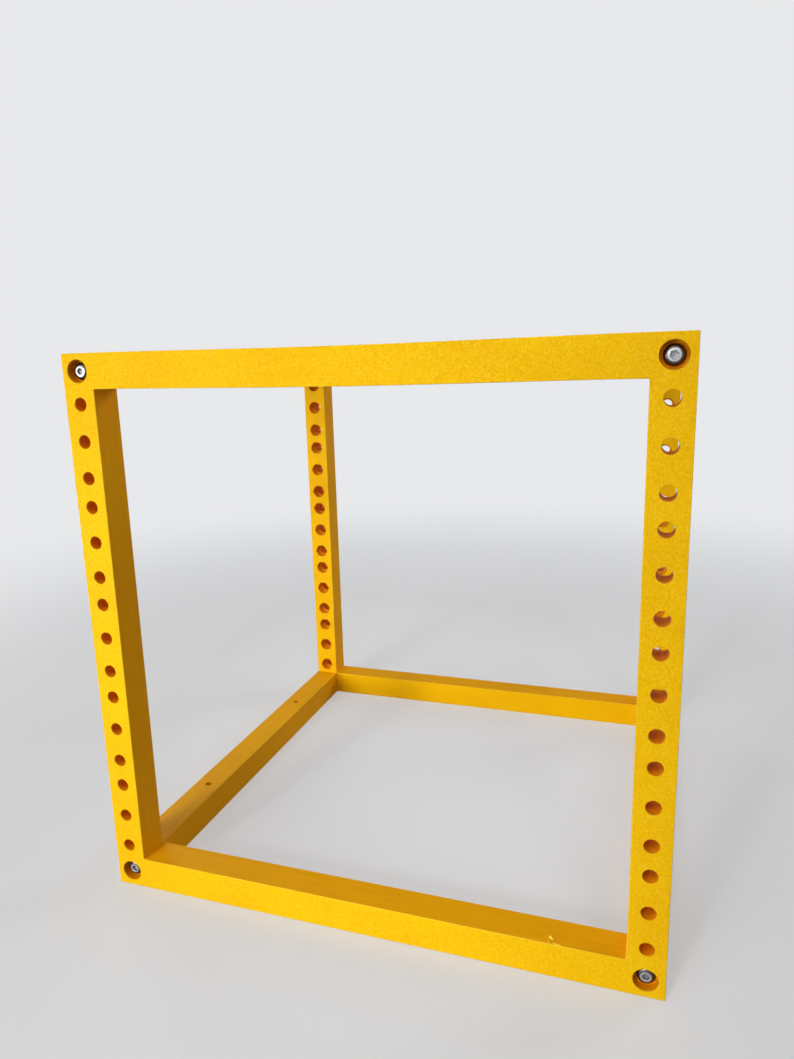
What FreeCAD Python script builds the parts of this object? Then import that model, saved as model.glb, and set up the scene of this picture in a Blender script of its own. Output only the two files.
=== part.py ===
import FreeCAD, Part
import Sketcher
import os

# Open cube frame for five units of small-format rack equipment.
# Two square frames stand at the front and the rear, each with a column of
# rack holes down both posts and a nut pocket behind every rack hole. Four
# beams join their corners, each held by a button head screw from either side
# into a brass insert in the beam's end.
# Origin: bottom centre of the cube. +X right, +Y to the rear, +Z up.

SIZES = [
    # the equipment bay
    ("rackUnit", 44.45),
    ("unitCount", 5),
    ("openingWidth", 222.25),
    ("outsideDepth", 252.25),
    # printed bars
    ("barWidth", 15.0),
    ("frameDepth", 15.0),
    ("beamWidth", 15.0),
    # rack holes, counted from the bottom of each unit
    ("railHoleDia", 5.9),
    ("firstHole", 6.35),
    ("holeStep", 15.875),
    ("holeRows", 3),
    # pocket for a hex nut on the bay side of each rack hole
    ("nutAcross", 8.1),
    ("nutDepth", 5.4),
    # corner joint: counterbore and clearance hole through the frames
    ("boreDia", 9.8),
    ("boreDepth", 4.0),
    ("screwClearance", 0.25),
    # button head screw with a hex socket
    ("threadDia", 4.0),
    ("headDia", 7.4),
    ("headHeight", 2.2),
    ("headLand", 0.8),
    ("headTopDia", 4.6),
    ("hexAcross", 2.5),
    ("hexDepth", 1.3),
    # brass insert, melted into the beam's end
    ("insertDia", 5.8),
    ("insertLength", 8.0),
    ("threadFit", 0.05),
    ("insertFit", 0.05),
    ("pocketSpare", 2.0),
    ("screwPastInsert", 1.0),
    # pair of holes in each beam for a shelf or a panel
    ("shelfHoleDia", 4.0),
    ("shelfHoleDepth", 10.0),
    ("shelfHoleSpacing", 113.0),
]

# Lengths that several pieces share, as expressions on the sheet.
OPENING_HEIGHT = "Sizes.unitCount * Sizes.rackUnit"
OUTSIDE_WIDTH = "Sizes.openingWidth + 2 * Sizes.barWidth"
OUTSIDE_HEIGHT = OPENING_HEIGHT + " + 2 * Sizes.barWidth"
COLUMN_X = "(Sizes.openingWidth + Sizes.barWidth) / 2"
LOW_Z = "Sizes.barWidth / 2"
HIGH_Z = OPENING_HEIGHT + " + 1.5 * Sizes.barWidth"
BEAM_LENGTH = "(Sizes.outsideDepth - 2 * Sizes.frameDepth)"
BORE_FLOOR_Y = "(Sizes.outsideDepth / 2 - Sizes.boreDepth)"
BEAM_END_Y = "(Sizes.outsideDepth / 2 - Sizes.frameDepth)"
SCREW_REACH = "(Sizes.insertLength + Sizes.screwPastInsert)"
SCREW_LENGTH = "(Sizes.frameDepth - Sizes.boreDepth + " + SCREW_REACH + ")"

V = FreeCAD.Vector
ORIGIN_POINT = (-1, 1)

doc = FreeCAD.newDocument("RackFrame")
sheet = doc.addObject("Spreadsheet::Sheet", "Sizes")
for row, (alias, value) in enumerate(SIZES, start=1):
    sheet.set("A%d" % row, alias)
    sheet.set("B%d" % row, str(value))
    sheet.setAlias("B%d" % row, alias)
doc.recompute()


def plane_of(body, role):
    return next(item for item in body.Origin.OriginFeatures if item.Role == role)


def new_body(label):
    body = doc.addObject("PartDesign::Body", label)
    body.Label = label
    return body


def new_sketch(body, name, role, **offset):
    # sketch on one of the body's planes, moved along its own x, y or z
    sketch = body.newObject("Sketcher::SketchObject", name)
    sketch.AttachmentSupport = [(plane_of(body, role), "")]
    sketch.MapMode = "FlatFace"
    for direction, size in offset.items():
        sketch.setExpression(".AttachmentOffset.Base." + direction, size)
    return sketch


def bind(sketch, kind, *where, size, start=1.0):
    index = sketch.addConstraint(Sketcher.Constraint(kind, *where, start))
    name = "size%d" % index
    sketch.renameConstraint(index, name)
    sketch.setExpression("Constraints." + name, size)


def join(sketch, *where):
    sketch.addConstraint(Sketcher.Constraint(*where))


def join_level(sketch, *point):
    # point on the sketch's horizontal axis
    join(sketch, "PointOnObject", *point, -1)


def join_upright(sketch, *point):
    # point on the sketch's vertical axis
    join(sketch, "PointOnObject", *point, -2)


def join_either_side(sketch, *points):
    # two points mirrored in the sketch's vertical axis
    join(sketch, "Symmetric", *points, -2)


def add_polygon(sketch, points):
    # closed outline of straight edges, returns the index of its first edge
    first = None
    count = len(points)
    for number, point in enumerate(points):
        following = points[(number + 1) % count]
        index = sketch.addGeometry(Part.LineSegment(V(*point, 0), V(*following, 0)), False)
        first = index if first is None else first
    for number in range(count):
        join(sketch, "Coincident", first + number, 2, first + (number + 1) % count, 1)
    return first


def add_rectangle(sketch, width, height, bottom):
    # rectangle centred on the vertical axis, its lower edge at height bottom
    edge = add_polygon(sketch, [(-2, 1), (2, 1), (2, 3), (-2, 3)])
    join(sketch, "Horizontal", edge + 2)
    join(sketch, "Vertical", edge + 1)
    join(sketch, "Vertical", edge + 3)
    join_either_side(sketch, edge, 1, edge, 2)
    bind(sketch, "DistanceX", edge, 1, edge, 2, size=width, start=4.0)
    bind(sketch, "DistanceY", edge + 1, 1, edge + 1, 2, size=height, start=2.0)
    if bottom is None:
        join_level(sketch, edge, 1)
    else:
        bind(sketch, "DistanceY", *ORIGIN_POINT, edge, 1, size=bottom)


def add_circle(sketch, diameter, x=0, y=0, guide=False):
    # a free circle; x and y only say where its centre starts
    circle = sketch.addGeometry(Part.Circle(V(x, y, 0), V(0, 0, 1), 1.0), guide)
    bind(sketch, "Diameter", circle, size=diameter, start=2.0)
    return circle


def add_round(sketch, diameter, guide=False):
    # circle about the sketch's origin
    circle = add_circle(sketch, diameter, guide=guide)
    join(sketch, "Coincident", circle, 3, *ORIGIN_POINT)
    return circle


def add_hexagon(sketch, across_flats):
    # hexagon about the sketch's origin, with a corner to each side
    corners = [(1, 0), (0.5, 0.87), (-0.5, 0.87), (-1, 0), (-0.5, -0.87), (0.5, -0.87)]
    side = add_polygon(sketch, corners)
    around = add_round(sketch, across_flats + " / cos(30 deg)", guide=True)
    for number in range(6):
        join(sketch, "PointOnObject", side + number, 1, around)
    for number in range(5):
        join(sketch, "Equal", side + number, side + number + 1)
    join_level(sketch, side, 1)


def add_feature(body, kind, name, profile=None):
    feature = body.newObject("PartDesign::" + kind, name)
    if profile is not None:
        feature.Profile = profile
    return feature


def repeat_upwards(body, name, spacing, count):
    steps = add_feature(body, "LinearPattern", name)
    steps.Direction = (plane_of(body, "Z_Axis"), [""])
    steps.Mode = "Spacing"
    steps.setExpression("Offset", spacing)
    steps.setExpression("Occurrences", count)
    return steps


def mirror_in(body, name, role):
    mirrored = add_feature(body, "Mirrored", name)
    mirrored.MirrorPlane = (plane_of(body, role), [""])
    return mirrored


def finish_pattern(body, feature, originals):
    feature.Originals = originals
    body.Tip = feature


def place(body, x=None, y=None, z=None, axis=V(0, 0, 1), angle=0.0):
    body.Placement.Rotation = FreeCAD.Rotation(axis, angle)
    for direction, size in (("x", x), ("y", y), ("z", z)):
        if size is not None:
            body.setExpression(".Placement.Base." + direction, size)


def make_square_frame(label):
    # one printed piece: outer face on the XZ plane, the bars run back from it
    body = new_body(label)
    outline = new_sketch(body, label + "_outline", "XZ_Plane")
    add_rectangle(outline, OUTSIDE_WIDTH, OUTSIDE_HEIGHT, None)
    add_rectangle(outline, "Sizes.openingWidth", OPENING_HEIGHT, "Sizes.barWidth")
    bars = add_feature(body, "Pad", label + "_bars", outline)
    bars.setExpression("Length", "Sizes.frameDepth")
    bars.Reversed = True
    doc.recompute()

    # lowest rack hole of the right post, with the nut pocket behind it
    first_hole = {"x": COLUMN_X, "y": "Sizes.barWidth + Sizes.firstHole"}
    hole_outline = new_sketch(body, label + "_hole_outline", "XZ_Plane", **first_hole)
    add_round(hole_outline, "Sizes.railHoleDia")
    rack_hole = add_feature(body, "Pocket", label + "_rack_hole", hole_outline)
    rack_hole.Type = "ThroughAll"
    nut_outline = new_sketch(body, label + "_nut_outline", "XZ_Plane", z="-Sizes.frameDepth", **first_hole)
    add_hexagon(nut_outline, "Sizes.nutAcross")
    nut_pocket = add_feature(body, "Pocket", label + "_nut_pocket", nut_outline)
    nut_pocket.Reversed = True
    nut_pocket.setExpression("Length", "Sizes.nutDepth")
    doc.recompute()

    # repeated in rows, then in units, then on the other post
    all_holes = add_feature(body, "MultiTransform", label + "_all_holes")
    rows = repeat_upwards(body, label + "_rows", "Sizes.holeStep", "Sizes.holeRows")
    units = repeat_upwards(body, label + "_units", "Sizes.rackUnit", "Sizes.unitCount")
    posts = mirror_in(body, label + "_posts", "YZ_Plane")
    all_holes.Transformations = [rows, units, posts]
    finish_pattern(body, all_holes, [rack_hole, nut_pocket])
    doc.recompute()

    # counterbored screw holes in the four corners
    corners = new_sketch(body, label + "_corners", "XZ_Plane")
    for start, height in enumerate((LOW_Z, HIGH_Z), start=1):
        left = add_circle(corners, "Sizes.threadDia", -1, start)
        right = add_circle(corners, "Sizes.threadDia", 1, start)
        join_either_side(corners, left, 3, right, 3)
        bind(corners, "DistanceX", *ORIGIN_POINT, right, 3, size=COLUMN_X)
        bind(corners, "DistanceY", *ORIGIN_POINT, right, 3, size=height)
    doc.recompute()
    screw_holes = add_feature(body, "Hole", label + "_screw_holes", corners)
    screw_holes.DepthType = "ThroughAll"
    screw_holes.HoleCutType = "Counterbore"
    screw_holes.setExpression("Diameter", "Sizes.threadDia + 2 * Sizes.screwClearance")
    screw_holes.setExpression("HoleCutDiameter", "Sizes.boreDia")
    screw_holes.setExpression("HoleCutDepth", "Sizes.boreDepth")
    doc.recompute()
    return body


def make_beam(label):
    # square bar along Y, centred on the origin, with an insert pocket in each end
    body = new_body(label)
    section = new_sketch(body, label + "_section", "XZ_Plane")
    add_rectangle(section, "Sizes.beamWidth", "Sizes.beamWidth", "-Sizes.beamWidth / 2")
    bar = add_feature(body, "Pad", label + "_bar", section)
    bar.SideType = "Symmetric"
    bar.setExpression("Length", BEAM_LENGTH)
    doc.recompute()

    mouth = new_sketch(body, label + "_pocket_mouth", "XZ_Plane", z=BEAM_LENGTH + " / 2")
    add_round(mouth, "Sizes.insertDia + 2 * Sizes.insertFit")
    pocket = add_feature(body, "Pocket", label + "_insert_pocket", mouth)
    pocket.setExpression("Length", "Sizes.insertLength + Sizes.pocketSpare")
    doc.recompute()

    shelf_end = {"y": "-Sizes.shelfHoleSpacing / 2", "z": "Sizes.beamWidth / 2"}
    shelf = new_sketch(body, label + "_shelf_mark", "XY_Plane", **shelf_end)
    add_round(shelf, "Sizes.shelfHoleDia")
    shelf_hole = add_feature(body, "Pocket", label + "_shelf_hole", shelf)
    shelf_hole.setExpression("Length", "Sizes.shelfHoleDepth")
    doc.recompute()

    both_ends = mirror_in(body, label + "_both_ends", "XZ_Plane")
    finish_pattern(body, both_ends, [pocket, shelf_hole])
    doc.recompute()
    return body


def make_screw(label):
    # head seat at the origin, shank down -Z, crowned head up +Z
    body = new_body(label)
    profile = new_sketch(body, label + "_profile", "XZ_Plane")
    # tip centre, tip edge, neck, head edge, top of the rim, crown edge, crown centre
    points = [(0, -9), (2, -9), (2, 0), (4, 0), (4, 1), (2, 2), (0, 2)]
    edge = add_polygon(profile, points)
    tip, shank, seat, rim, shoulder, crown, axis = range(edge, edge + 7)
    for flat in (tip, seat, crown):
        join(profile, "Horizontal", flat)
    for upright in (shank, rim, axis):
        join(profile, "Vertical", upright)
    join_upright(profile, tip, 1)
    join_level(profile, seat, 1)
    bind(profile, "DistanceX", *ORIGIN_POINT, seat, 1, size="Sizes.threadDia / 2", start=2.0)
    bind(profile, "DistanceY", tip, 1, *ORIGIN_POINT, size=SCREW_LENGTH, start=9.0)
    bind(profile, "DistanceX", *ORIGIN_POINT, rim, 1, size="Sizes.headDia / 2", start=4.0)
    bind(profile, "DistanceY", rim, 1, rim, 2, size="Sizes.headLand")
    bind(profile, "DistanceX", *ORIGIN_POINT, crown, 1, size="Sizes.headTopDia / 2", start=2.0)
    bind(profile, "DistanceY", *ORIGIN_POINT, crown, 1, size="Sizes.headHeight", start=2.0)
    turned = add_feature(body, "Revolution", label + "_turning", profile)
    turned.ReferenceAxis = (profile, ["V_Axis"])
    turned.Angle = 360.0
    doc.recompute()

    socket = new_sketch(body, label + "_socket_outline", "XY_Plane", z="Sizes.headHeight")
    add_hexagon(socket, "Sizes.hexAcross")
    hexagon = add_feature(body, "Pocket", label + "_hex_socket", socket)
    hexagon.setExpression("Length", "Sizes.hexDepth")
    doc.recompute()
    return body


def make_insert(label):
    # threaded sleeve: outer end at the origin, pushed in along -Z
    body = new_body(label)
    ring = new_sketch(body, label + "_ring", "XY_Plane")
    add_round(ring, "Sizes.threadDia + 2 * Sizes.threadFit")
    add_round(ring, "Sizes.insertDia")
    sleeve = add_feature(body, "Pad", label + "_sleeve", ring)
    sleeve.setExpression("Length", "Sizes.insertLength")
    sleeve.Reversed = True
    doc.recompute()
    return body


front_frame = make_square_frame("front_frame")
place(front_frame, y="-Sizes.outsideDepth / 2")
rear_frame = make_square_frame("rear_frame")
place(rear_frame, y="Sizes.outsideDepth / 2", angle=180.0)
bodies = [front_frame, rear_frame]

# The beams' shelf holes face into the bay, so the upper beams hang turned over.
for side, sign in (("left", "-"), ("right", "")):
    for level, height, roll in (("lower", LOW_Z, 0.0), ("upper", HIGH_Z, 180.0)):
        corner = "%s_%s" % (level, side)
        corner_x = sign + COLUMN_X
        beam = make_beam(corner + "_beam")
        place(beam, x=corner_x, z=height, axis=V(0, 1, 0), angle=roll)
        bodies.append(beam)
        # each joint's screw points inwards: its head faces out of the cube
        for end, outward, tilt in (("front", "-", 90.0), ("rear", "", -90.0)):
            screw = make_screw("%s_%s_screw" % (end, corner))
            place(screw, x=corner_x, y=outward + BORE_FLOOR_Y, z=height, axis=V(1, 0, 0), angle=tilt)
            insert = make_insert("%s_%s_insert" % (end, corner))
            place(insert, x=corner_x, y=outward + BEAM_END_Y, z=height, axis=V(1, 0, 0), angle=tilt)
            bodies += [screw, insert]
doc.recompute()

for item in doc.Objects:
    if "Invalid" in item.State or "Error" in item.State:
        raise RuntimeError("%s failed: %s" % (item.Label, item.State))
for body in bodies:
    if body.Shape.isNull() or not body.Shape.isValid() or len(body.Shape.Solids) != 1:
        raise RuntimeError(body.Label + " is not one valid solid")

os.makedirs("parts", exist_ok=True)
for body in bodies:
    body.Shape.exportStep("parts/%s.step" % body.Label)
    box = body.Shape.BoundBox
    print("%-30s %9.1f mm3  %6.2f x %6.2f x %6.2f" % (
        body.Label, body.Shape.Volume, box.XLength, box.YLength, box.ZLength))
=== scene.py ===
import math

import bmesh
import bpy
import numpy as np
from mathutils import Matrix, Vector
from mathutils.geometry import delaunay_2d_cdt


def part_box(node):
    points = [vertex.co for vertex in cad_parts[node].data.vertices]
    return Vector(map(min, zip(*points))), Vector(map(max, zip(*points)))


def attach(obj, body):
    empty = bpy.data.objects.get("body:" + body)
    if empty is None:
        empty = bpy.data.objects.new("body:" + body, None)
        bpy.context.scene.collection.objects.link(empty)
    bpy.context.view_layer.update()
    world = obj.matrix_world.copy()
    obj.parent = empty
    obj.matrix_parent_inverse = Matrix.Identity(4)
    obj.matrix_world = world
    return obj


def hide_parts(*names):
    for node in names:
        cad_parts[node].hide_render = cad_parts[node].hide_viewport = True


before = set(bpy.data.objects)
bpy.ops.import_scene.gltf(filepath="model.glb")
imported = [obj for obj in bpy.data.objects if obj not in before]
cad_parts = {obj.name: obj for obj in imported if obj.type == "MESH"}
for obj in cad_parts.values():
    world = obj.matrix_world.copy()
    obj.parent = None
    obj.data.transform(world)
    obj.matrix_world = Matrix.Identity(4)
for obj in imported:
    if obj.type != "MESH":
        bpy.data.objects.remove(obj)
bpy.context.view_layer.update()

mm = 0.001
sides = ("left", "right")
levels = ("lower", "upper")


class Wire:  # an output socket that can be used in sums
    def __init__(self, finish, socket):
        self.finish = finish
        self.socket = socket

    def sum(self, operation, first, second):
        return self.finish.add("ShaderNodeMath", {"operation": operation}, {0: first, 1: second})

    def __add__(self, other):
        return self.sum("ADD", self, other)

    def __radd__(self, other):
        return self.sum("ADD", other, self)

    def __sub__(self, other):
        return self.sum("SUBTRACT", self, other)

    def __rsub__(self, other):
        return self.sum("SUBTRACT", other, self)

    def __mul__(self, other):
        return self.sum("MULTIPLY", self, other)

    def __rmul__(self, other):
        return self.sum("MULTIPLY", other, self)

    def __truediv__(self, other):
        return self.sum("DIVIDE", self, other)

    def __abs__(self):
        return self.finish.turn("ABSOLUTE", self)


class Finish:  # one material or world, and the nodes that make it
    def __init__(self, owner):
        owner.use_nodes = True
        self.owner = owner
        self.tree = owner.node_tree
        self.tree.nodes.clear()

    def add(self, kind, settings, inputs, output=0):
        node = self.tree.nodes.new(kind)
        for key, value in settings.items():
            setattr(node, key, value)
        for key, value in inputs.items():
            if isinstance(value, Wire):
                self.tree.links.new(value.socket, node.inputs[key])
            else:
                node.inputs[key].default_value = value
        return Wire(self, node.outputs[output]) if len(node.outputs) else node

    def turn(self, operation, value):  # a Math node with one input
        return self.add("ShaderNodeMath", {"operation": operation}, {0: value})

    def ease(self, value, low, high):  # 0 below low, 1 above high
        return self.add("ShaderNodeMapRange", {"interpolation_type": "SMOOTHSTEP"},
                        {"Value": value, "From Min": low, "From Max": high})

    def scaled(self, point, scales):
        return self.add("ShaderNodeVectorMath", {"operation": "MULTIPLY"}, {0: point, 1: scales})

    def noise(self, point, scale, detail):
        return self.add("ShaderNodeTexNoise", {}, {"Vector": point, "Scale": scale, "Detail": detail}, "Fac")

    def blend(self, factor, first, second):
        return self.add("ShaderNodeMix", {"data_type": "RGBA"}, {0: factor, 6: first, 7: second}, 2)

    def parts(self, vector):
        return [self.add("ShaderNodeSeparateXYZ", {}, {0: vector}, axis) for axis in range(3)]


def tone(red, green, blue):  # screen values 0-255 as the linear colour a socket wants
    def linear(value):
        value /= 255
        return value / 12.92 if value <= 0.04045 else ((value + 0.055) / 1.055) ** 2.4
    return (linear(red), linear(green), linear(blue), 1.0)


cameraLook = {
    "place": (0.1151273, -0.3994238, 0.2444569),
    "turn": (77.9145, 1.5515, 18.5252),  # degrees about X, Y and Z
    "lens": 26.386,
}


def makeCamera(look):
    data = bpy.data.cameras.new("viewCamera")
    data.sensor_width = 36.0
    data.lens = look["lens"]
    data.clip_start = 0.01
    data.clip_end = 50.0
    camera = bpy.data.objects.new("viewCamera", data)
    camera.location = look["place"]
    camera.rotation_euler = [math.radians(angle) for angle in look["turn"]]
    bpy.context.scene.collection.objects.link(camera)
    bpy.context.scene.camera = camera


makeCamera(cameraLook)
print("camera placed")


plasticLook = {
    "bedTone": tone(252, 198, 2),  # grained skin that lay on the print bed
    "wallToneWithShade": tone(243, 174, 1),  # stacked layers at the sides; the more orange tone is partly painted shade
    "topTone": tone(249, 190, 1),  # last layer, with its raster
    "deepTone": tone(214, 122, 0),  # streaks, layer seams and patches, and painted shade in the grain's pits
    "holeShadeTone": tone(232, 134, 0),  # painted shade inside the holes
    # painted highlight along the rounded edges
    "edgeHighlightTone": tone(255, 224, 70),
    # painted glints on the grain's tops
    "paintedGlintTone": tone(255, 218, 84),
    "layer": 0.24,  # mm
    "raster": 0.42,  # mm
    "grain": (1.7, 0.07),  # of the bed's skin: lumps in a mm, and their height
    "pebble": (0.6, 0.06),  # wider lumps under the grain
    "paintedGlints": 0.38,  # strength of the painted glints on the grain's tops and the painted shade in its pits
    "pitShading": 0.22,
    "streaks": 0.2,  # strength of the darker layers, fine and broad
    "bands": 0.12,
    "clouds": 0.12,  # strength of the wide darker patches
    "roughness": 0.5,
    "gloss": 0.07,
}


def printedPlastic(name, look, axis, bedSign, rasterAcross, block=None):  # axis: the way the layers stack
    finish = Finish(bpy.data.materials.new(name))
    place = finish.add("ShaderNodeTexCoord", {}, {}, "Object")
    point = finish.scaled(place, (1000.0, 1000.0, 1000.0))  # millimetres
    spot = finish.parts(point)
    facing = finish.parts(finish.add("ShaderNodeTexCoord", {}, {}, "Normal"))[axis]
    slope = abs(facing)
    bed = finish.ease(facing * bedSign, 0.3, 0.8)
    top = finish.ease(facing * -bedSign, 0.3, 0.8)
    wall = 1.0 - finish.ease(slope, 0.2, 0.7)
    # where the edges round over; these get a painted highlight
    edge = finish.ease(slope * (1.0 - slope), 0.03, 0.2)

    layer = spot[axis] / look["layer"]  # the walls' layers, each with its own height
    strand = finish.add("ShaderNodeTexWhiteNoise", {"noise_dimensions": "1D"},
                        {"W": finish.turn("FLOOR", layer)}, "Value")
    ridge = abs(finish.turn("SINE", layer * math.pi))

    def stretched(along, through):  # scales that draw a noise out along the layers
        return finish.scaled(point, [through if part == axis else along for part in range(3)])

    streak = finish.noise(stretched(0.035, 1.6), 1.0, 5.0)
    band = finish.noise(stretched(0.012, 0.35), 1.0, 3.0)
    wobble = finish.noise(stretched(0.5, 5.0), 1.0, 3.0)
    wallHeight = ridge * (0.010 + 0.012 * strand) + streak * 0.03 + wobble * 0.012

    grain = finish.noise(point, look["grain"][0], 3.0)
    pebble = finish.noise(point, look["pebble"][0], 2.0)
    bedHeight = grain * look["grain"][1] + pebble * look["pebble"][1]

    flat = [spot[part] for part in range(3) if part != axis]  # the last layer's lanes
    diagonal = (flat[0] + flat[1]) * (math.sqrt(0.5) / look["raster"])
    lane = abs(finish.turn("SINE", (diagonal if rasterAcross else flat[0] / look["raster"]) * math.pi))
    topHeight = lane * 0.02 + grain * 0.012

    height = wallHeight * wall + bedHeight * bed + topHeight * top
    normal = finish.add("ShaderNodeBump", {}, {"Strength": 1.0, "Distance": mm, "Height": height})

    cloud = finish.noise(point, 0.035, 3.0)
    # painted glints on the grain's tops, and painted shade in its pits
    paintedGlint = finish.ease(grain, 0.54, 0.7) * bed
    pit = (1.0 - finish.ease(grain, 0.34, 0.5)) * bed
    # the sides' tone is partly their layered skin, partly painted shade
    colour = finish.blend(bed, look["wallToneWithShade"], look["bedTone"])
    colour = finish.blend(top, colour, look["topTone"])
    colour = finish.blend(wall * finish.ease(streak, 0.45, 0.75) * look["streaks"], colour, look["deepTone"])
    colour = finish.blend(wall * finish.ease(band, 0.5, 0.8) * look["bands"], colour, look["deepTone"])
    # painted shade in the grain's pits
    colour = finish.blend(pit * look["pitShading"], colour, look["deepTone"])
    colour = finish.blend(finish.ease(cloud, 0.35, 0.75) * look["clouds"], colour, look["deepTone"])
    # painted glints on the grain's tops
    colour = finish.blend(paintedGlint * look["paintedGlints"], colour, look["paintedGlintTone"])
    # painted highlight along the rounded edges
    colour = finish.blend(edge * 0.7, colour, look["edgeHighlightTone"])
    if block:  # what lies inside the posts' own thickness is the wall of a hole, and gets painted shade
        middle, half, inner = block
        away = [abs(spot[part] - middle[part]) for part in range(3)]
        inside = finish.ease(away[0] - inner, 0.3, 1.0)
        for part in range(3):
            inside = inside * finish.ease(half[part] - away[part], 0.3, 1.0)
        colour = finish.blend(inside * 0.75, colour, look["holeShadeTone"])
    roughness = look["roughness"] + wall * strand * 0.1 + bed * (0.16 * pebble - 0.2 * paintedGlint) + cloud * 0.06
    skin = finish.add("ShaderNodeBsdfPrincipled", {},
                      {"Base Color": colour, "Roughness": roughness, "Normal": normal, "IOR": 1.46,
                       "Specular IOR Level": look["gloss"]})
    finish.add("ShaderNodeOutputMaterial", {}, {"Surface": skin})
    return finish.owner


steelLook = {
    "face": tone(204, 205, 209),
    # painted reflection: the dome's dark tone stands in for the dark bore it mirrors
    "dome": tone(96, 90, 86),
    # smudges, and the painted shade inside the socket
    "dark": tone(74, 74, 78),
}


def screwSteel(name, look):
    finish = Finish(bpy.data.materials.new(name))
    place = finish.add("ShaderNodeTexCoord", {}, {}, "Object")
    spot = finish.parts(finish.scaled(place, (1000.0, 1000.0, 1000.0)))
    radius = finish.turn("SQRT", spot[0] * spot[0] + spot[2] * spot[2])
    turned = finish.noise(finish.add("ShaderNodeCombineXYZ", {}, {0: radius, 1: spot[1]}), 9.0, 4.0)
    smear = finish.noise(place, 900.0, 3.0)
    # the socket's inside, which gets painted shade
    socket = (1.0 - finish.ease(radius, 1.2, 1.5)) * finish.ease(spot[1], -1.9, -1.5)
    # the dome's dark tone is a painted reflection
    colour = finish.blend(finish.ease(radius, 1.9, 2.4), look["face"], look["dome"])
    colour = finish.blend(smear * 0.3, colour, look["dark"])
    # painted shade inside the socket
    colour = finish.blend(socket * 0.6, colour, look["dark"])
    normal = finish.add("ShaderNodeBump", {}, {"Strength": 0.35, "Distance": 0.02 * mm, "Height": turned})
    skin = finish.add("ShaderNodeBsdfPrincipled", {},
                      {"Base Color": colour, "Metallic": 1.0, "Roughness": 0.2 + turned * 0.16 + socket * 0.2,
                       "Normal": normal})
    finish.add("ShaderNodeOutputMaterial", {}, {"Surface": skin})
    return finish.owner


brassLook = {
    "face": tone(214, 172, 92),
    "dull": tone(150, 112, 52),
}


def insertBrass(name, look):
    finish = Finish(bpy.data.materials.new(name))
    place = finish.add("ShaderNodeTexCoord", {}, {}, "Object")
    cloud = finish.noise(place, 700.0, 4.0)
    scratch = finish.noise(finish.scaled(place, (4000.0, 300.0, 4000.0)), 1.0, 3.0)
    colour = finish.blend(finish.ease(cloud, 0.35, 0.7), look["face"], look["dull"])
    normal = finish.add("ShaderNodeBump", {}, {"Strength": 0.4, "Distance": 0.02 * mm, "Height": scratch})
    skin = finish.add("ShaderNodeBsdfPrincipled", {},
                      {"Base Color": colour, "Metallic": 1.0, "Roughness": 0.22 + cloud * 0.2, "Normal": normal})
    finish.add("ShaderNodeOutputMaterial", {}, {"Surface": skin})
    return finish.owner


def wall(mesh, rings):  # bands of quads between rings of points
    made = [[mesh.verts.new(point) for point in ring] for ring in rings]
    for lower, upper in zip(made, made[1:]):
        for index in range(len(lower)):
            after = (index + 1) % len(lower)
            mesh.faces.new((lower[index], lower[after], upper[after], upper[index]))
    return made[0], made[-1]


def fan(mesh, ring, point):
    middle = mesh.verts.new(point)
    for index in range(len(ring)):
        mesh.faces.new((ring[index], ring[(index + 1) % len(ring)], middle))


def flatFill(mesh, rings, flat):  # the first ring's inside without the others'
    corners = [corner for ring in rings for corner in ring]
    spots = [Vector(flat(corner.co)) / mm for corner in corners]
    edges, start = [], 0
    for ring in rings:
        edges += [(start + index, start + (index + 1) % len(ring)) for index in range(len(ring))]
        start += len(ring)
    result = delaunay_2d_cdt(spots, edges, [], 0, 1e-6)
    first = np.array([spots[one] for one, two in edges])
    second = np.array([spots[two] for one, two in edges])
    for triangle in result[2]:  # kept where the edges to its right are odd in number
        three = [result[3][index][0] for index in triangle]
        x, y = np.mean([spots[index] for index in three], axis=0)
        level = (first[:, 1] > y) != (second[:, 1] > y)
        one, two = first[level], second[level]
        cuts = one[:, 0] + (two[:, 0] - one[:, 0]) * (y - one[:, 1]) / (two[:, 1] - one[:, 1])
        if np.count_nonzero(cuts > x) % 2:
            mesh.faces.new([corners[index] for index in three])


def circle(radius, count=48):
    return [(radius * math.cos(math.tau * index / count), radius * math.sin(math.tau * index / count))
            for index in range(count)]


def polygon(across, corners, count=48):
    points = []
    for index in range(count):
        angle = math.tau * index / count
        reach = across / 2 / math.cos(angle % (math.tau / corners) - math.pi / corners)
        points.append((reach * math.cos(angle), reach * math.sin(angle)))
    return points


def square(halfWide, halfHigh, corner, cuts):  # corners rounded, long edges divided
    points = []
    for quarter in range(4):
        turn = math.pi / 2 * quarter
        reachX, reachY = (halfWide, halfHigh) if quarter % 2 == 0 else (halfHigh, halfWide)
        for index in range(cuts):  # up along this side
            share = index / cuts
            points.append((reachX, (reachY - corner) * (2 * share - 1), turn))
        for index in range(4):
            angle = math.pi / 2 * index / 4
            points.append((reachX - corner + corner * math.cos(angle),
                           reachY - corner + corner * math.sin(angle), turn))
    return [(x * math.cos(turn) - y * math.sin(turn), x * math.sin(turn) + y * math.cos(turn))
            for x, y, turn in points]


def roundedEnds(depth, near, far, steps=3):  # offsets and depths of a wall with rounded ends
    turns = [math.pi / 2 * index / steps for index in range(steps + 1)]
    front = [(near * (1 - math.sin(turn)), near * (1 - math.cos(turn))) for turn in turns]
    back = [(far * (1 - math.sin(turn)), depth - far * (1 - math.cos(turn))) for turn in reversed(turns)]
    return front + back


def meshData(name, mesh, material):
    bmesh.ops.recalc_face_normals(mesh, faces=mesh.faces)
    data = bpy.data.meshes.new(name)
    mesh.to_mesh(data)
    mesh.free()
    data.shade_smooth()
    data.materials.append(material)
    return data


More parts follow.
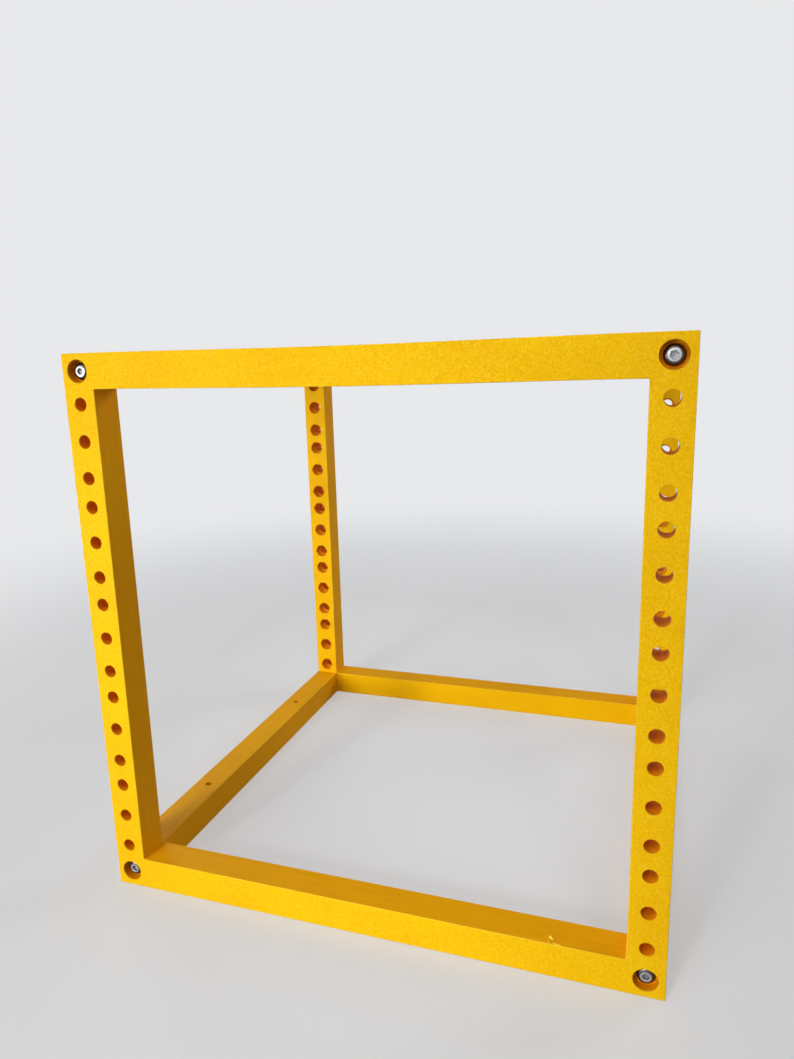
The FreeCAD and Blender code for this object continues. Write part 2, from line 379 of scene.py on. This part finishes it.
def placePiece(name, data, node, matrix=Matrix.Identity(4)):
    piece = bpy.data.objects.new(name, data)
    bpy.context.scene.collection.objects.link(piece)
    piece.matrix_world = matrix
    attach(piece, "root")
    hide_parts(node)
    return piece


def placeBar(name, mesh, material, node):  # frames and beams, with their large faces kept even
    piece = placePiece(name, meshData(name, mesh, material), node)
    piece.modifiers.new("evenFaces", "WEIGHTED_NORMAL").keep_sharp = True


def nutShape(across):  # the print rounds the hexagon's corners off
    shape = []
    for u, v in polygon(across, 6):
        keep = min(1.0, 0.52 * across / math.hypot(u, v))
        shape.append((u * keep, v * keep))
    return shape


frameLook = {
    "bar": 15.0,
    "edge": 0.3,  # rounding of the long edges
    "corner": 0.5,
    "innerCorner": 0.6,
    "rim": 0.18,  # rounding of the holes' edges
    "hole": 5.9,
    "unit": 44.45,
    "units": 5,
    "rows": (6.35, 22.225, 38.1),  # hole heights in each unit
    "bore": 9.8,
    "boreDepth": 4.0,
    "screwHole": 4.5,
    "nutAcross": 8.1,
    "nutDepth": 5.4,
    "sag": {"front": 0.7, "rear": 0.4},  # of the bar printed last across the top
    "scars": (  # blobs left on the front's lower bar: place, half sizes, turn in degrees
        ((81.9, -122.6, 15.0), (0.75, 1.4, 0.95), 40.0),
        ((81.3, -124.7, 15.0), (0.4, 0.9, 0.6), -8.0),
        ((84.2, -125.5, 14.95), (1.7, 0.45, 0.4), -6.0),
    ),
}


def makeFrame(end, look, material):
    low, high = (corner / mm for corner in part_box(end + "_frame"))
    depth = high.y - low.y
    half = (high.x - low.x) / 2
    middle = (low.z + high.z) / 2
    inner = half - look["bar"]
    turned = -1 if end == "rear" else 1
    face = low.y if end == "front" else high.y

    mesh = bmesh.new()
    nearRings, farRings = [], []

    def addWall(rings, across=0.0, up=0.0):  # rings of points, each at its depth from the outer face
        first, last = wall(mesh, [[Vector((turned * (u + across), face + turned * w, middle + v + up)) * mm
                                   for u, v in ring] for ring, w in rings])
        nearRings.append(first)
        farRings.append(last)

    ends = roundedEnds(depth, look["edge"], look["edge"])
    addWall([(square(half - offset, half - offset, look["corner"], 28), w) for offset, w in ends])
    addWall([(square(inner + offset, inner + offset, look["innerCorner"] + offset, 24), w) for offset, w in ends])
    column = half - look["bar"] / 2
    radius = look["hole"] / 2
    nutFloor = depth - look["nutDepth"]
    holeRings = [(circle(radius + offset), w) for offset, w in roundedEnds(nutFloor, look["rim"], 0.0, 2)[:3]]
    holeRings += [(circle(radius), nutFloor - 0.1), (circle(radius + 0.1), nutFloor)]
    holeRings += [(nutShape(look["nutAcross"]), nutFloor), (nutShape(look["nutAcross"]), depth - look["rim"]),
                  (nutShape(look["nutAcross"] + 2 * look["rim"]), depth)]
    for side in (-1, 1):
        for unit in range(look["units"]):
            for row in look["rows"]:
                addWall(holeRings, side * column, unit * look["unit"] + row - inner)
    bore, deep, narrow = look["bore"] / 2, look["boreDepth"], look["screwHole"] / 2
    steps = [(bore + offset, w) for offset, w in roundedEnds(deep, look["rim"], 0.0, 2)[:3]]
    steps += [(bore, deep - 0.12), (bore - 0.12, deep), (narrow, deep)]
    steps += [(narrow, depth - look["rim"]), (narrow + look["rim"], depth)]
    for side in (-1, 1):
        for level in (-1, 1):
            addWall([(circle(reach), w) for reach, w in steps], side * column, level * column)
    for rings in (nearRings, farRings):
        flatFill(mesh, rings, lambda point: (point.x, point.z))
    for corner in mesh.verts:
        share = max(0.0, 1 - (corner.co.x / mm / inner) ** 2)
        if corner.co.z > (middle + inner - 1) * mm:
            corner.co.z -= look["sag"][end] * share ** 2 * mm
    if end == "front":
        for place, size, turn in look["scars"]:
            shape = Matrix.Rotation(math.radians(turn), 4, "Z") @ Matrix.Diagonal((*size, 1.0))
            shape = Matrix.Translation(Vector(place) * mm) @ shape
            bmesh.ops.create_icosphere(mesh, subdivisions=3, radius=mm, matrix=shape)
    placeBar(end + "Frame", mesh, material, end + "_frame")


for end, bedSign in (("front", -1.0), ("rear", 1.0)):
    low, high = (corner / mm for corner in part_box(end + "_frame"))
    # the posts' block, where the holes' walls get painted shade
    block = ((low + high) / 2, (high - low) / 2, (high.x - low.x) / 2 - frameLook["bar"])
    makeFrame(end, frameLook, printedPlastic(end + "FramePlastic", plasticLook, 1, bedSign, True, block))
    print("printed", end, "frame")


# the beams' tops get a more orange tone: painted shade
beamPlasticLook = dict(plasticLook, topTone=tone(249, 180, 1))
beamLook = {
    "edge": 0.3,
    "rim": 0.15,
    "shelfHole": 4.0,
    "shelfDepth": 10.0,
    "shelfSpacing": 113.0,
    "pocket": 5.8,
    "pocketDepth": 10.0,
}


def makeBeam(level, side, look, material):
    low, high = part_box(level + "_" + side + "_beam")
    centre, size = (low + high) / 2, high - low
    block = bmesh.new()
    bmesh.ops.create_cube(block, size=1.0, matrix=Matrix.Translation(centre) @ Matrix.Diagonal((*size, 1.0)))
    bmesh.ops.bevel(block, geom=block.edges[:], offset=look["edge"] * mm, segments=3, profile=0.5, affect="EDGES")
    mesh = block.copy()  # bevel leaves gaps, which new faces would fill in another order each run
    block.free()
    inward = 1 if level == "lower" else -1

    def openFace(axis, sign, makeHoles, flat):
        face = max(mesh.faces, key=lambda one: one.calc_area() if one.normal[axis] * sign > 0.99 else 0)
        ring = list(face.verts)
        mesh.faces.remove(face)
        flatFill(mesh, [ring] + makeHoles(), flat)

    def blindHole(radius, depth, spot):
        rings = [(radius + offset, w) for offset, w in roundedEnds(depth, look["rim"], 0.0, 2)[:3]]
        rings.append((radius, depth))
        first, last = wall(mesh, [[spot(u, v, w) for u, v in circle(reach, 40)] for reach, w in rings])
        fan(mesh, last, spot(0.0, 0.0, depth + radius * 0.3))  # a shallow cone for a floor
        return first

    def shelfHoles():
        return [blindHole(look["shelfHole"] / 2, look["shelfDepth"],
                          lambda u, v, w: centre + Vector((u * mm, (v + shift) * mm,
                                                           inward * (size.z / 2 - w * mm))))
                for shift in (-look["shelfSpacing"] / 2, look["shelfSpacing"] / 2)]

    def endPocket(sign):
        return lambda: [blindHole(look["pocket"] / 2, look["pocketDepth"],
                                  lambda u, v, w: centre + Vector((u * mm, sign * (size.y / 2 - w * mm), v * mm)))]

    openFace(2, inward, shelfHoles, lambda point: (point.x, point.y))
    for sign in (-1, 1):
        openFace(1, sign, endPocket(sign), lambda point: (point.x, point.z))
    placeBar(level + side.capitalize() + "Beam", mesh, material, level + "_" + side + "_beam")


for level, bedSign in (("lower", -1.0), ("upper", 1.0)):
    plastic = printedPlastic(level + "BeamPlastic", beamPlasticLook, 2, bedSign, False)
    for side in sides:
        makeBeam(level, side, beamLook, plastic)
print("printed four beams")


screwLook = {
    "head": 7.4,
    "headHeight": 2.2,
    "land": 0.6,  # straight rim under the dome
    "flat": 3.8,  # flat ring round the socket
    "socket": 2.5,
    "socketDepth": 1.3,
    "thread": 4.0,
    "threadDepth": 0.42,
    "pitch": 0.7,
    "length": 20.0,
}


def screwMesh(look, material):
    mesh = bmesh.new()
    rings = []
    radius, pitch = look["thread"] / 2, look["pitch"]
    core = radius - look["threadDepth"]
    turns = int((look["length"] - 1.2) / pitch * 5)
    for index in range(turns + 1):  # from the tip up to the head
        w = look["length"] - 0.4 - (look["length"] - 1.6) * index / turns
        fade = min(1.0, (look["length"] - w) / 1.4, (w - 1.0) / 0.8)
        ring = []
        for u, v in circle(1.0, 24):
            phase = (w / pitch + math.atan2(v, u) / math.tau) % 1.0
            reach = core + (radius - core) * max(0.0, 1 - abs(phase - 0.5) / 0.42) * fade
            ring.append(Vector((u * reach, w, v * reach)))
        rings.append(ring)
    rings.append([Vector((u, 0.6, v)) for u, v in circle(radius - 0.05, 24)])
    rings.append([Vector((u, 0.0, v)) for u, v in circle(radius - 0.05, 24)])
    tip, neck = wall(mesh, [[point * mm for point in ring] for ring in rings])
    fan(mesh, tip, Vector((0.0, look["length"], 0.0)) * mm)
    head, flat, rise = look["head"] / 2, look["flat"] / 2, look["headHeight"]
    outline = [(head - 0.25, 0.0), (head - 0.07, 0.07), (head, 0.25), (head, look["land"])]
    drop, width = rise - look["land"], head - flat
    for index in range(1, 9):  # the dome
        turn = math.pi / 2 * index / 8
        outline.append((flat + width * math.cos(turn), look["land"] + drop * math.sin(turn)))
    rings = [[Vector((u, -w, v)) for u, v in circle(reach)] for reach, w in outline]
    for across, w in ((look["socket"] + 0.36, rise), (look["socket"] + 0.1, rise - 0.14),
                      (look["socket"], rise - 0.3), (look["socket"], rise - look["socketDepth"])):
        rings.append([Vector((u, -w, v)) for u, v in polygon(across, 6)])
    under, floor = wall(mesh, [[point * mm for point in ring] for ring in rings])
    fan(mesh, floor, Vector((0.0, look["socketDepth"] - rise + 0.3, 0.0)) * mm)
    flatFill(mesh, [under, neck], lambda point: (point.x, point.z))
    data = meshData("buttonHeadScrew", mesh, material)
    data.set_sharp_from_angle(angle=math.radians(38))
    return data


insertLook = {
    "outside": 5.8,
    "inside": 4.1,
    "length": 8.0,
    "teeth": 16,
    "toothDepth": 0.28,
    "slant": 0.5,  # turn of the knurl along each band, in teeth per mm
}


def insertMesh(look, material):
    mesh = bmesh.new()
    outside, inside, length = look["outside"] / 2, look["inside"] / 2, look["length"]
    stations = [(0.0, 0), (0.15, 0), (0.9, 0)]  # depth, and which way the knurl runs there, if it does
    stations += [(1.0 + 0.25 * index, 1) for index in range(9)]
    stations += [(3.1, 0), (4.2, 0)]
    stations += [(4.3 + 0.25 * index, -1) for index in range(9)]
    stations += [(6.4, 0), (length - 0.3, 0), (length, 0)]
    rings = []
    for w, way in stations:
        groove = 0.32 if 0.2 < w < length - 0.4 else 0.22
        ring = []
        for u, v in circle(1.0, 96):
            phase = (math.atan2(v, u) / math.tau * look["teeth"] + way * look["slant"] * w) % 1.0
            tooth = 1 - abs(2 * phase - 1)
            reach = outside - (look["toothDepth"] * (1 - tooth) if way else groove)
            ring.append(Vector((u * reach, w, v * reach)))
        rings.append(ring)
    bore = [(inside + 0.3, length), (inside, length - 0.3), (inside, 0.3), (inside + 0.3, 0.0)]
    rings += [[Vector((u * reach, w, v * reach)) for u, v in circle(1.0, 96)] for reach, w in bore]
    first, last = wall(mesh, [[point * mm for point in ring] for ring in rings])
    for index in range(len(first)):
        after = (index + 1) % len(first)
        mesh.faces.new((last[index], last[after], first[after], first[index]))
    data = meshData("knurledInsert", mesh, material)
    data.set_sharp_from_angle(angle=math.radians(38))
    return data


def makeFasteners():
    screw = screwMesh(screwLook, screwSteel("screwSteel", steelLook))
    insert = insertMesh(insertLook, insertBrass("insertBrass", brassLook))
    corners = [(end, level, side) for end in ("front", "rear") for level in levels for side in sides]
    for number, (end, level, side) in enumerate(corners):
        around = Matrix.Rotation(math.pi if end == "rear" else 0.0, 4, "Z")
        spin = Matrix.Rotation(math.radians(23 + 47 * number), 4, "Y")  # no two sockets stand alike
        name = end + level.capitalize() + side.capitalize()
        for kind, data, slotName in (("screw", screw, "screw_steel"), ("insert", insert, "insert_brass")):
            node = "_".join((end, level, side, kind))
            low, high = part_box(node)
            centre = (low + high) / 2
            lift = screwLook["headHeight"] * mm if kind == "screw" else 0.0
            centre.y = low.y + lift if end == "front" else high.y - lift
            placePiece(name + kind.capitalize(), data, node,
                       Matrix.Translation(centre) @ around @ spin)


makeFasteners()
print("placed screws and inserts")


stageLook = {
    "floor": tone(226, 227, 228),
    "backdrop": tone(232, 233, 235),
    "lift": 0.46,  # share of the backdrop's own tone in the floor
    "fade": (0.35, 1.0),  # metres from the middle, where the floor turns into the backdrop
    "shade": tone(150, 150, 152),  # what the floor gives back to the object
    "worldLight": 0.11,
}


def raysSeen(finish):  # 1 for what is looked at, mirrored or seen through
    camera, gloss, through = [finish.add("ShaderNodeLightPath", {}, {}, "Is " + kind + " Ray")
                              for kind in ("Camera", "Glossy", "Transmission")]
    return finish.add("ShaderNodeMath", {"operation": "ADD", "use_clamp": True}, {0: camera + gloss, 1: through})


def makeStage(look):
    mesh = bmesh.new()
    bmesh.ops.create_circle(mesh, cap_ends=True, segments=64, radius=9.0)
    data = bpy.data.meshes.new("studioFloor")
    mesh.to_mesh(data)
    mesh.free()
    floor = bpy.data.objects.new("studioFloor", data)
    floor.location.z = -0.0002
    bpy.context.scene.collection.objects.link(floor)
    finish = Finish(bpy.data.materials.new("floorPaint"))
    place = finish.add("ShaderNodeTexCoord", {}, {}, "Object")
    away = finish.add("ShaderNodeVectorMath", {"operation": "LENGTH"}, {0: place}, "Value")
    seen = raysSeen(finish)
    paint = finish.add("ShaderNodeBsdfPrincipled", {},
                       {"Base Color": finish.blend(seen, look["shade"], look["floor"]), "Roughness": 0.7})
    glow = finish.add("ShaderNodeEmission", {}, {"Color": look["backdrop"], "Strength": 1.0})
    share = look["lift"] + finish.ease(away, *look["fade"]) * (1.0 - look["lift"])
    mixed = finish.add("ShaderNodeMixShader", {}, {0: share * seen, 1: paint, 2: glow})
    finish.add("ShaderNodeOutputMaterial", {}, {"Surface": mixed})
    data.materials.append(finish.owner)

    world = bpy.data.worlds.new("studioWorld")
    bpy.context.scene.world = world
    finish = Finish(world)
    seen = raysSeen(finish)
    backdrop = finish.add("ShaderNodeBackground", {}, {"Color": look["backdrop"], "Strength": 1.0})
    light = finish.add("ShaderNodeBackground", {}, {"Color": (1.0, 1.0, 1.0, 1.0), "Strength": look["worldLight"]})
    mixed = finish.add("ShaderNodeMixShader", {}, {0: seen, 1: light, 2: backdrop})
    finish.add("ShaderNodeOutputWorld", {}, {"Surface": mixed})


spotBeam = 13  # degrees
lampLook = {  # kind, place, what it points at, size in metres, watts
    "key": ("AREA", (-1.0, -3.7, 1.0), (0.0, 0.0, 0.13), 1.6, 23.0),
    "high": ("AREA", (-0.4, -1.4, 1.9), (0.0, 0.0, 0.13), 1.0, 11.5),
    "near": ("AREA", (-0.55, -0.75, 0.12), (0.0, 0.0, 0.13), 0.3, 2.3),
    "back": ("AREA", (1.6, 1.4, 1.0), (0.0, 0.0, 0.13), 1.0, 14.5),
    "rear": ("AREA", (-1.9, 1.3, 0.3), (0.0, 0.0, 0.13), 0.8, 19.0),
    "low": ("SPOT", (-0.4, -1.5, 0.7), (0.03, -0.126, 0.0), 0.15, 54.0),
    "side": ("SPOT", (-0.5, -1.6, 0.35), (-0.13, -0.126, 0.13), 0.15, 42.0),
    "crest": ("SPOT", (0.35, -1.6, 0.9), (0.02, -0.126, 0.33), 0.15, 27.0),
    "far": ("SPOT", (0.5, -1.0, 1.3), (-0.05, 0.12, 0.05), 0.15, 29.0),
}


def makeLamps(look):
    for name, (kind, place, aim, size, watts) in look.items():
        data = bpy.data.lights.new(name + "Lamp", kind)
        data.energy = watts
        if kind == "AREA":
            data.shape = "DISK"
            data.size = size
        else:
            data.shadow_soft_size = size
            data.spot_size = math.radians(spotBeam)
            data.spot_blend = 1.0
        lamp = bpy.data.objects.new(name + "Lamp", data)
        lamp.location = place
        lamp.rotation_euler = (Vector(aim) - Vector(place)).to_track_quat("-Z", "Y").to_euler()
        bpy.context.scene.collection.objects.link(lamp)


makeStage(stageLook)
makeLamps(lampLook)
bpy.context.scene.view_settings.view_transform = "Standard"
print("studio lit")
